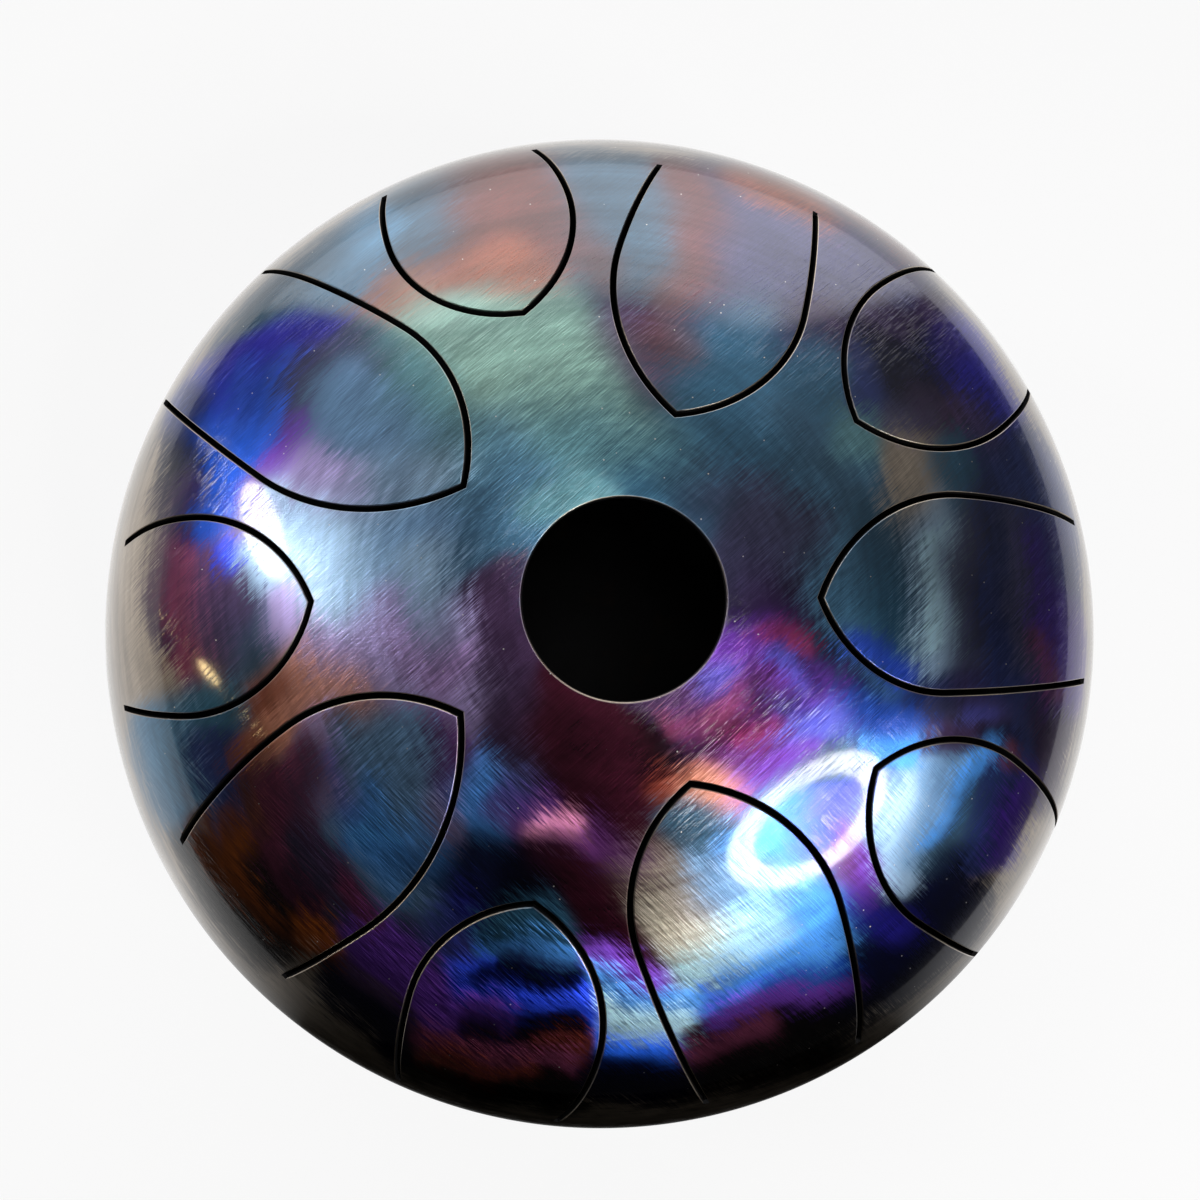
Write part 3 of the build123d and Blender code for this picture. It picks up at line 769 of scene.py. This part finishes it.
TORCH_AND_PAINTED_HIGHLIGHT_PASSES = {
    "cream": [(277, 77, 283, 87, 3.1)],
    "taupe": [(29, 86, 19, 81, 3.6), (172, 129, 189, 129, 3.3), (276, 64, 281, 76, 3.6)],
    "copper": [(290, 44, 299, 54, 2.2)],
    "fawn": [(198, 88, 200, 96, 2.2), (194, 82, 198, 73, 3.9)],
    "lilac": [(181, 56, 200, 47, 3.3)],
    "sienna": [(114, 100, 104, 90, 4.2), (127, 101, 121, 101, 3.3), (72, 126, 64, 128, 3.3),
        (195, 97, 195, 88, 2.5), (200, 97, 201, 103, 1.7), (205, 103, 213, 106, 1.1, 0.4)],
    "umber": [(207, 112, 214, 112, 1.1, 0.3), (225, 116, 229, 116, 1.4, 0.7), (213, 117, 219, 118, 1.1, 0.5),
        (207, 120, 216, 121, 1.4, 0.5), (216, 121, 227, 118, 1.4, 0.6)],
    "rust": [(247, 124, 260, 125, 1.1, 0.5), (260, 114, 265, 115, 1.1, 0.4), (282, 43, 291, 44, 1.9),
        (339, 110, 337, 111, 1.1)],
    "rosewood": [(108, 124, 111, 109, 6.7), (101, 125, 101, 99, 5), (100, 94, 93, 89, 3.3),
        (80, 118, 79, 87, 5), (58, 140, 51, 137, 3.9), (82, 69, 75, 70, 3.3)],
    "maroon": [(355, 116, 350, 119, 1.9), (173, 116, 185, 111, 3.1), (205, 101, 214, 102, 1.4, 0.4),
        (206, 89, 215, 95, 2.5), (244, 120, 256, 119, 1.4, 0.55), (256, 119, 265, 119, 1.4, 0.5),
        (280, 116, 288, 118, 1.9, 0.3), (317, 32, 300, 37, 1.7), (288, 30, 305, 32, 1.4),
        (213, 106, 225, 108, 1.7, 0.45)],
    "wine": [(227, 101, 231, 101, 1.4, 0.5), (344, 37, 343, 46, 1.4), (307, 45, 317, 47, 1.1)],
    "oxblood": [(257, 68, 268, 71, 3.1), (242, 44, 263, 45, 6.7), (242, 34, 269, 35, 4.2),
        (271, 49, 273, 64, 4.2), (264, 74, 270, 82, 3.1), (299, 41, 306, 41, 1.4)],
    "plum": [(88, 73, 83, 59, 4.4), (33, 98, 26, 111, 3.3), (176, 98, 180, 94, 2.5),
        (174, 106, 185, 104, 3.1), (203, 38, 224, 42, 3.1), (174, 30, 206, 32, 2.5), (233, 49, 241, 53, 3.1),
        (279, 22, 305, 27, 2.5), (337, 86, 338, 95, 1.7), (344, 92, 342, 103, 3.1),
        (207, 89, 218, 97, 1.9, 0.4), (218, 97, 230, 101, 1.9, 0.45), (233, 119, 242, 119, 1.4, 0.5)],
    "aubergine": [(55, 83, 52, 92, 3.9), (49, 109, 44, 111, 2.5), (42, 120, 37, 120, 2.8),
        (4, 35, -10, 39, 5), (164, 120, 172, 120, 2.5), (175, 119, 184, 117, 2.2), (324, 38, 316, 42, 1.4),
        (339, 47, 335, 52, 1.4), (347, 118, 338, 130, 3.1)],
    "magenta": [(163, 102, 167, 96, 2.5), (214, 56, 227, 61, 2.5, 0.3), (239, 59, 247, 59, 1.4, 0.6),
        (255, 59, 264, 61, 1.7, 0.6), (265, 59, 274, 62, 2.5, 0.3), (303, 29, 329, 33, 3.3),
        (295, 37, 301, 46, 3.1), (324, 42, 306, 50, 3.1), (316, 84, 310, 90, 2.5)],
    # Painted highlight: a pale pink where the magenta film catches the ring lamp, with its facets leaning
    # towards it
    "pink_painted_highlight": [(250, 58, 259, 59, 1.4, 0.85)],
    "mauve": [(158, 88, 160, 75, 3.6), (180, 82, 185, 86, 2.5), (191, 74, 196, 62, 3.6, 0.15),
        (189, 62, 197, 52, 3.3), (187, 43, 209, 46, 3.6, 0.15), (204, 84, 214, 87, 3.1),
        (227, 66, 233, 68, 1.9)],
    "violet": [(152, 96, 159, 96, 2.2), (233, 102, 238, 106, 3.1, 0.45), (239, 57, 249, 56, 1.9, 0.4),
        (244, 112, 251, 109, 1.9, 0.5), (266, 89, 273, 92, 1.9, 0.5), (335, 30, 340, 37, 3.1),
        (329, 48, 337, 53, 3.1), (316, 58, 301, 55, 2.5), (315, 90, 310, 96, 1.9), (284, 107, 300, 114, 1.7),
        (233, 105, 244, 107, 1.1, 0.55), (244, 107, 255, 111, 1.1, 0.55)],
    "iris": [(239, 94, 243, 93, 2.2, 0.4), (338, 42, 333, 49, 1.4), (313, 27, 326, 30, 1.9),
        (320, 50, 330, 60, 2.5), (342, 94, 342, 102, 1.4), (307, 72, 321, 77, 3.1, 0.15),
        (209, 85, 219, 85, 1.4, 0.45)],
    "indigo": [(37, 120, 29, 118, 3.9), (137, 105, 144, 120, 2.8), (142, 113, 152, 119, 3.6),
        (242, 83, 240, 91, 2.5, 0.2), (309, 98, 310, 111, 2.2)],
    "lapis": [(142, 109, 155, 102, 1.4), (145, 118, 154, 113, 1.4), (336, 62, 336, 76, 2.5)],
    "royal": [(350, 60, 348, 72, 2.2), (171, 101, 174, 98, 1.1), (243, 97, 248, 96, 1.4, 0.7),
        (247, 105, 264, 102, 1.9, 0.6)],
    "cobalt": [(148, 111, 156, 122, 4.2), (157, 110, 166, 109, 3.6), (269, 112, 277, 114, 1.9, 0.8),
        (281, 102, 290, 104, 1.4, 0.5), (290, 105, 301, 108, 1.4)],
    "azure": [(217, 78, 229, 82, 3.1, 0.3), (227, 74, 234, 76, 2.5, 0.3), (229, 58, 239, 58, 3.6, 0.6),
        (246, 93, 260, 91, 1.1, 0.4), (267, 96, 279, 101, 1.7, 0.4), (331, 70, 333, 79, 1.9),
        (300, 70, 307, 69, 3.6), (293, 90, 304, 95, 4.2), (285, 99, 297, 103, 2.5),
        (338, 103, 324, 103, 1.4), (219, 85, 232, 88, 1.7, 0.4)],
    # Painted reflections, not film: a pale stripe of the room at the right, and highlights below the hole
    # towards the ring lamp's reflection
    "sky": [(11, 83, -7, 82, 1.4), (269, 103, 277, 105, 1.9, 0.45), (281, 92, 293, 90, 3.6)],
    # Painted reflections, not film: a pale stripe of the room at the right, the halo round the side lamp's
    # highlight on the left, and a pale patch near the ring lamp's
    "painted_reflection_haze": [(15, 84, -9, 82, 3.6), (144, 59, 157, 71, 3.6), (164, 95, 174, 84, 3.3),
        (165, 81, 174, 73, 4.4), (170, 81, 180, 74, 1.4), (167, 69, 180, 64, 5.6), (169, 50, 186, 47, 3.6),
        (325, 87, 317, 100, 2.5)],
    "slate": [(140, 87, 150, 86, 5), (141, 71, 150, 70, 4.4), (160, 59, 180, 55, 6.1),
        (206, 77, 219, 87, 2.5, 0.5), (206, 66, 221, 75, 3.1, 0.2), (214, 62, 226, 67, 2.8, 0.2),
        (231, 88, 238, 88, 3.6, 0.45), (289, 74, 295, 83, 4.4), (326, 80, 318, 89, 1.4),
        (333, 93, 320, 99, 2.5), (212, 73, 232, 75, 1.4, 0.35)],
    "steel": [(123, 124, 131, 112, 3.9), (9, 58, -10, 60, 5.6), (134, 51, 141, 39, 6.7),
        (49, 61, 33, 61, 4.2), (196, 128, 204, 123, 4.4)],
    "petrol": [(73, 69, 71, 53, 5), (66, 76, 57, 75, 5), (50, 83, 48, 69, 4.4), (24, 93, 17, 91, 3.1),
        (15, 71, -8, 71, 4.4), (83, 32, 64, 44, 6.1), (54, 50, 36, 56, 5.6), (81, 26, 46, 27, 3.3),
        (191, 108, 194, 102, 2.5), (248, 88, 256, 81, 2.5, 0.4)],
    "storm": [(92, 125, 95, 91, 7.2), (130, 122, 137, 122, 6.1), (114, 128, 119, 114, 5.6),
        (85, 112, 86, 88, 4.2), (182, 90, 189, 93, 3.1), (305, 60, 328, 67, 2.5), (287, 54, 294, 59, 3.1),
        (330, 105, 321, 107, 2.5)],
    "smoke": [(73, 117, 70, 88, 7.2), (60, 123, 52, 120, 7.2), (35, 87, 32, 97, 2.2), (14, 93, -8, 91, 3.1),
        (12, 109, -8, 110, 2.5), (52, 31, 18, 30, 6.1), (25, 46, 13, 45, 5), (141, 103, 151, 97, 3.3),
        (138, 99, 133, 90, 3.6), (179, 97, 187, 98, 3.6), (341, 82, 342, 101, 2.5),
        (217, 102, 228, 106, 1.4, 0.4), (235, 95, 244, 95, 1.9, 0.45)],
    "teal": [(135, 72, 137, 59, 5.6), (112, 43, 84, 42, 7.2), (37, 68, 37, 79, 2.5), (134, 30, 103, 26, 2.5),
        (131, 87, 129, 76, 3.9)],
    "sage": [(123, 95, 119, 81, 3.9), (119, 80, 103, 67, 6.7), (119, 62, 96, 56, 7.2)],
    "navy": [(45, 95, 39, 84, 2.2), (25, 112, 15, 114, 5), (19, 125, 6, 125, 3.9), (13, 101, -7, 102, 3.1),
        (200, 114, 205, 112, 3.6), (232, 77, 242, 74, 3.1), (251, 94, 260, 93, 1.1, 0.3),
        (322, 45, 329, 48, 1.4), (343, 77, 346, 104, 2.5), (346, 105, 338, 113, 3.1),
        (280, 98, 288, 98, 0.8, 0.4), (335, 112, 327, 116, 2.5)],
    "dusk": [(9, 119, -10, 120, 3.9), (337, 118, 328, 124, 2.2)],
    "ink": [(44, 106, 38, 109, 5.6), (40, 96, 32, 103, 4.4), (154, 125, 160, 126, 2.8),
        (160, 121, 169, 116, 3.1), (220, 107, 225, 108, 1.4), (241, 73, 254, 72, 3.6),
        (248, 100, 261, 97, 1.4), (250, 113, 262, 110, 1.4), (269, 120, 278, 123, 2.5),
        (241, 121, 245, 131, 1.9), (233, 123, 239, 124, 1.9), (345, 52, 336, 63, 2.5),
        (337, 88, 340, 108, 1.9), (304, 108, 300, 121, 2.5), (310, 99, 306, 116, 3.1),
        (319, 111, 322, 111, 1.9), (316, 113, 317, 125, 3.1), (308, 119, 317, 127, 3.3)],
    "pitch": [(218, 115, 224, 119, 1.4), (210, 126, 222, 130, 3.3), (276, 35, 289, 42, 3.9),
        (248, 133, 263, 130, 2.5), (280, 120, 294, 135, 4.4), (280, 34, 298, 39, 2.2),
        (284, 35, 298, 38, 1.4), (284, 117, 299, 122, 3.1), (214, 112, 223, 115, 1.1)],
}
# The passes that follow the rim all round, by height over the seam and half width in millimetres
RIM_PASSES = [(25.0, 5.0, "taupe"), (15.0, 4.0, "sienna"), (8.0, 3.0, "maroon"), (1.5, 4.0, "navy")]
RIM_WEIGHT = 2500
PASS_STEPS = 7
PASS_SPREAD = 1.05
PASS_TAIL = 1e-4
# Where a point takes its tints from: how far along the rim's way and how far out, in metres
STROKE_SHIFTS = {"tint": (0.0, 0.0), "tint_ahead": (0.002, 0.0035), "tint_behind": (-0.002, -0.0035)}
# Slow waves: each has its swing in metres, its radians a metre along x and y, and its start
RIM_WAVES = [(0.0030, 61, 37, 0.0), (0.0018, -83, 113, 2.0)]
WAVES_IN_X = [(0.0022, 0, 97, 1.3), (0.0011, 141, 236, 0.0)]
WAVES_IN_Y = [(0.0022, 109, 0, 0.4), (0.0011, 251, -133, 0.0)]


def swayed(x, y, waves):
    """The sum of waves over the plan: each is its swing times the sine of its phase."""
    return sum(swing * np.sin(by_x * x + by_y * y + start) for swing, by_x, by_y, start in waves)


def torch_and_painted_highlight_tints(piece):
    """Gives each point the tint of the passes near it: their mean, each weighted by a bell over its distance.

    A pass runs evenly in azimuth and radius between its ends, and a pass at the rim lies at one height. Slow
    waves bend the places first, so that the colours' borders wander. Two more tints are those of places ahead
    and behind, along and across the strokes.
    """
    x, y, z = points_of(piece)
    height = z - SEAM_Z + swayed(x, y, RIM_WAVES)
    x, y = x + swayed(x, y, WAVES_IN_X), y + swayed(x, y, WAVES_IN_Y)
    rows = [(*row, 0)[:6] + STEEL_TINTS[tint][:3] for tint, passes in TORCH_AND_PAINTED_HIGHLIGHT_PASSES.items() for row in passes]
    from_azimuth, from_radius, to_azimuth, to_radius, width, lean, *tint = np.array(rows, dtype=float).T
    share = np.linspace(0.0, 1.0, PASS_STEPS)[:, None]
    azimuth = np.radians(from_azimuth + (to_azimuth - from_azimuth) * share)
    radius = (from_radius + (to_radius - from_radius) * share) / 1000
    pass_places = placed(radius, azimuth, 0.0)
    pass_tints = np.stack([*tint, lean], -1)
    out = np.hypot(x, y)
    for name, (along, across) in STROKE_SHIFTS.items():
        at_x, at_y = x - along * y / out + across * x / out, y + along * x / out + across * y / out
        total, weights = np.zeros((len(x), 4)), np.full((len(x), 1), 1e-9)
        for number, half_width in enumerate(width / 1000):
            pass_x, pass_y, _ = pass_places[:, number].T
            away = np.hypot(at_x[:, None] - pass_x, at_y[:, None] - pass_y).min(1) / half_width
            bell = np.exp(-0.5 * (away / PASS_SPREAD) ** 2)
            weight = (bell + PASS_TAIL / (1 + away**4))[:, None] / half_width
            total += weight * pass_tints[number]
            weights += weight
        for rim_height, half_width, rim_tint in RIM_PASSES:
            away = ((height - across) * 1000 - rim_height) / half_width
            weight = np.exp(-0.5 * away**2)[:, None] * RIM_WEIGHT / half_width
            total += weight * np.array((*STEEL_TINTS[rim_tint][:3], 0.0))
            weights += weight
        means = total / weights
        if name == "tint":
            keep(piece, "lean_share", means[:, 3])
        means[:, 3] = 1.0
        keep(piece, name, means)


def torch_film_and_painted_highlights(tree, bands, clouds, drift):
    """The upper shell's film as the torch left it, and its painted highlights; the brush's hairs carried the
    tints past their borders.
    """
    here, ahead, behind = (painted(tree, name, "Color") for name in STROKE_SHIFTS)
    tint = mixed(tree, "MIX", spread(tree, drift, 0.50, 0.66, 0.0, 1.0), here, ahead)
    return mixed(tree, "MIX", spread(tree, drift, 0.50, 0.34, 0.0, 1.0), tint, behind)


temper_coloured_steel = heat_tinted("temper_coloured_steel", torch_film_and_painted_highlights)
torch_and_painted_highlight_tints(upper_shell)
finish_sheet(upper_shell, 1, temper_coloured_steel)

# Tongues: ten leaves of the upper shell's own sheet, each freed round its tip and sides by its slit and left
# on at the root, where the real tongue bends as it sounds; each leaf here is built unbent. Five long ones and
# five short ones stand in turn.
TONGUE_ROW = 0.0014
BEND_LENGTH = 0.018


def tongue_leaf(member):
    """A tongue: rows from tip to root, columns from side to side, outside and inside, with filed edges.

    Its root row is the shell's own, so the sheet runs on without a step.
    """
    tip = tip_radius(member, -WINDOW_OFFSET)
    radius = steps([tip, tip + 2 * TONGUE_ROW, member.root - SLIT_FADE, member.root], TONGUE_ROW)
    offset = -SLIT_WIDTH / 2 - filed(member, radius)
    (ccw, _), (cw, _) = (side_line(side, radius, offset) for side in member.sides)
    across = np.linspace(0.0, 1.0, TONGUE_COLUMNS)[None, :]
    azimuth = member.azimuth - cw[:, None] + (cw + ccw)[:, None] * across
    reach = reach_at(radius)[:, None]
    outer, outer_normals = around(dish(reach, 0.0), azimuth)
    inner, inner_normals = around(dish(reach, SHEET), azimuth)
    back = np.stack([outer[-1], inner[-1]])
    outward = placed(1.0, azimuth[-1], 0.0)
    return joined(
        member.name + "_leaf",
        cells(outer, outer_normals),
        cells(inner, -inner_normals),
        *(slit_edge(member, hand, radius, -1) for hand in (1, -1)),
        cells(back, np.broadcast_to(outward, back.shape)),
    )


for member in tongues:
    leaf = tongue_leaf(member)
    ends = np.array([member.root, member.root - BEND_LENGTH])
    (start, end), _ = around(dish(reach_at(ends), SHEET / 2), member.azimuth)
    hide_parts(member.name)
    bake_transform(leaf)
    torch_and_painted_highlight_tints(leaf)
    finish_sheet(leaf, 1, temper_coloured_steel)

# Weld bead: the seam that joins the two rims, one pass of weld all round in overlapping puddles, so that it
# lies like a row of coins in the groove that the two bevels make.
BEAD_CAP = 0.0006
BEAD_PITCH = 0.0019
BEAD_RIPPLE_SHARE = 0.22
BEAD_BOW = 0.0011
BEAD_ROUNDNESS = 0.6
BEAD_ACROSS = 11
BEAD_STEPS = 5
puddles = round(2 * math.pi * RIM_RADIUS / BEAD_PITCH)
bead_azimuth = np.linspace(0.0, 2 * math.pi, puddles * BEAD_STEPS, endpoint=False)[None, :]
bead_side = np.linspace(-1.0, 1.0, BEAD_ACROSS)[:, None]


def weld_face(side, azimuth):
    """The bead's outside: a low parabola over the groove, notched where each puddle overlaps the last.

    The notches bow along the seam with the square of the distance from its middle, as a moving puddle leaves.
    """
    along = azimuth * puddles / (2 * math.pi) - BEAD_BOW / BEAD_PITCH * side**2
    puddle = np.abs(np.sin(math.pi * along)) ** BEAD_ROUNDNESS
    rise = BEAD_CAP * (1 - side**2) * (1 - BEAD_RIPPLE_SHARE * (1 - puddle))
    return placed(RIM_RADIUS + rise, azimuth, SEAM_Z + BEAD_WIDTH / 2 * side)


bead_face = weld_face(bead_side, bead_azimuth)
root_side = np.array([-1.0, 0.0, 1.0])[:, None]
root_radius = RIM_RADIUS - GROOVE_DEPTH * (1 - np.abs(root_side))
bead_root = placed(root_radius, bead_azimuth, SEAM_Z + BEAD_WIDTH / 2 * root_side)
bead_out = placed(1.0, bead_azimuth, 0.0)
weld_bead = joined(
    "weld_bead_seam",
    cells(bead_face, np.broadcast_to(bead_out, bead_face.shape), True),
    cells(bead_root, np.broadcast_to(-bead_out, bead_root.shape), True),
    exact=False,
)
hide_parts("weld_bead")
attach(weld_bead, "shell")


def weld_finish():
    """Weld metal: dull bright steel with straw and blue heat tint in patches along the seam."""
    material, tree, shader, place = new_finish("weld_steel")
    heat = noise(tree, place, 60.0, 4.0)
    blue, grey = linear(92, 96, 128), linear(132, 130, 134)
    straw, mauve = linear(160, 146, 122), linear(118, 100, 108)
    feed(tree, shader, {
        "Base Color": ramp(tree, heat, (0.32, blue), (0.46, grey), (0.58, straw), (0.72, mauve)),
        "Metallic": 1.0,
        "Roughness": spread(tree, heat, 0.3, 0.7, 0.32, 0.5),
        "Normal": bumped(tree, noise(tree, place, 3000.0, 2.0), 0.15, 0.0001),
    })
    return material


weld_bead.data.materials.append(weld_finish())

# Floor, light and camera: a white floor, whose reflection in front of the drum is darkened as painted shade, a
# soft sky that is brightest low behind the drum and dim towards the front, a ring lamp, a top lamp, a side lamp
# and a small warm lamp whose reflections lie on the crown, and the place from which the drum was seen.
FLOOR_HALF = 40.0
floor_mesh = bpy.data.meshes.new("floor")
floor_corners = [(x * FLOOR_HALF, y * FLOOR_HALF, 0.0) for x, y in ((-1, -1), (1, -1), (1, 1), (-1, 1))]
floor_mesh.from_pydata(floor_corners, [], [(0, 1, 2, 3)])
floor = bpy.data.objects.new("floor", floor_mesh)
bpy.context.collection.objects.link(floor)
floor_paper = bpy.data.materials.new("floor_paper")
floor_paper.use_nodes = True
tree = floor_paper.node_tree
place = add(tree, "ShaderNodeTexCoord").outputs["Object"]
away = add(tree, "ShaderNodeVectorMath", {0: place}, operation="LENGTH").outputs["Value"]
heading = add(tree, "ShaderNodeVectorMath", {0: place}, operation="NORMALIZE").outputs["Vector"]
backward = add(tree, "ShaderNodeSeparateXYZ", {"Vector": heading}).outputs["Y"]
# Painted shade: in reflections only, the floor in front of the drum goes dark, standing in for the room's dark
# side
front = times(tree, spread(tree, backward, -0.8, -0.5, 1.0, 0.0), spread(tree, away, 0.18, 0.23, 0.75, 1.0))
path = add(tree, "ShaderNodeLightPath").outputs
level = work_out(tree, "SUBTRACT", 1.0, times(tree, path["Is Glossy Ray"], front))
paper = add(tree, "ShaderNodeBsdfDiffuse", {"Color": (0.9, 0.9, 0.9, 1)})
glow = add(tree, "ShaderNodeEmission", {"Color": (1, 1, 1, 1), "Strength": level})
share = times(tree, path["Is Camera Ray"], spread(tree, away, 0.4, 1.2, 0.84, 1.0))
share = work_out(tree, "MAXIMUM", share, path["Is Glossy Ray"])
both = add(tree, "ShaderNodeMixShader", {"Fac": share, 1: paper.outputs[0], 2: glow.outputs[0]})
tree.links.new(both.outputs[0], tree.nodes["Material Output"].inputs["Surface"])
floor_mesh.materials.append(floor_paper)

scene = bpy.context.scene
scene.view_settings.view_transform = "Standard"
world = bpy.data.worlds.new("studio")
world.use_nodes = True
scene.world = world
tree = world.node_tree
sky = add(tree, "ShaderNodeTexCoord").outputs["Generated"]
towards = add(tree, "ShaderNodeSeparateXYZ", {"Vector": sky}).outputs
across, backward, upward = towards["X"], towards["Y"], towards["Z"]
dome = times(tree, spread(tree, backward, 0.0, 0.7, 0.0, 0.35), spread(tree, upward, 0.25, 0.6, 0.0, 1.0))
pale_wall = times(
    tree,
    spread(tree, backward, 0.705, 0.735, 0.0, 2.8),
    spread(tree, upward, 0.55, 0.62, 1.0, 0.0),
    spread(tree, upward, 0.0, 0.3, 0.6, 1.0),
)
low_window = times(
    tree,
    spread(tree, upward, 0.33, 0.37, 0.9, 0.0),
    spread(tree, work_out(tree, "ABSOLUTE", backward), 0.36, 0.44, 1.0, 0.0),
    spread(tree, across, -0.5, 0.0, 1.0, 0.0),
)
level = work_out(tree, "ADD", dome, work_out(tree, "MAXIMUM", pale_wall, low_window))
level = work_out(tree, "ADD", level, spread(tree, backward, -0.8, -0.2, 0.01, 0.045))
seen = add(tree, "ShaderNodeLightPath").outputs["Is Camera Ray"]
level = work_out(tree, "MULTIPLY_ADD", level, work_out(tree, "SUBTRACT", 1.0, seen), seen)
tree.links.new(level, tree.nodes["Background"].inputs["Strength"])
tree.nodes["Background"].inputs["Color"].default_value = (1, 1, 1, 1)

LAMP_TARGET = np.array([0.0, 0.0, 0.13])
LAMP_STEPS = 96
LAMP_PINHOLE = 0.001
WHITE = (1.0, 1.0, 1.0)
AMBER = (1.0, 0.74, 0.34)


def lamp_card(name, azimuth, elevation, middle, halves, hollow, tilt, colour, strength):
    """A glowing flat ring or disc one metre from the crown: ellipses from a hollow share of its half axes to
    all of them, turned by a tilt in its own plane, which faces the crown. Middle shifts it in that plane."""
    turn = np.linspace(0.0, 2 * math.pi, LAMP_STEPS, endpoint=False)[None, :]
    share = np.array([max(hollow, LAMP_PINHOLE), 1.0])[:, None]
    across, upward = halves[0] * share * np.cos(turn), halves[1] * share * np.sin(turn)
    across, upward = (
        across * math.cos(tilt) - upward * math.sin(tilt) + middle[0],
        across * math.sin(tilt) + upward * math.cos(tilt) + middle[1],
    )
    azimuth, elevation = math.radians(azimuth), math.radians(elevation)
    away = placed(math.cos(elevation), azimuth, math.sin(elevation))
    side = np.array([-math.sin(azimuth), math.cos(azimuth), 0.0])
    points = LAMP_TARGET + away + across[..., None] * side + upward[..., None] * np.cross(away, side)
    card = joined(name, cells(points, np.broadcast_to(-away, points.shape), True))
    glow = bpy.data.materials.new(name)
    glow.use_nodes = True
    light = add(glow.node_tree, "ShaderNodeEmission", {"Color": (*colour, 1), "Strength": strength})
    glow.node_tree.links.new(light.outputs[0], glow.node_tree.nodes["Material Output"].inputs["Surface"])
    card.data.materials.append(glow)
    card.visible_camera = False


lamp_card("key_ring_lamp", -42, 48, (0.0, -0.08), (0.245, 0.140), 0.68, -0.25, WHITE, 24.0)
lamp_card("top_lamp", 49, 83.5, (0.0, 0.0), (0.22, 0.22), 0.0, 0.0, WHITE, 5.0)
lamp_card("side_lamp", 163, 33, (0.0, 0.0), (0.135, 0.050), 0.0, 0.71, WHITE, 23.0)
lamp_card("warm_lamp", -174.3, 26.3, (0.0, 0.0), (0.040, 0.010), 0.0, 0.675, AMBER, 30.0)

CAMERA_PLACE = (-0.01764, -0.01968, 0.38146)
CAMERA_LENS = 28.43
CAMERA_SENSOR = 36.0
CAMERA_PITCH = -0.0841
CAMERA_ROLL = 0.0507
CAMERA_NEAR = 0.01
camera_data = bpy.data.cameras.new("camera")
camera_data.sensor_width = CAMERA_SENSOR
camera_data.lens = CAMERA_LENS
camera_data.clip_start = CAMERA_NEAR
camera = bpy.data.objects.new("camera", camera_data)
turned = Matrix.Rotation(CAMERA_ROLL, 3, "Y") @ Matrix.Rotation(CAMERA_PITCH, 3, "X")
camera.matrix_world = Matrix.Translation(CAMERA_PLACE) @ turned.transposed().to_4x4()
bpy.context.collection.objects.link(camera)
scene.camera = camera
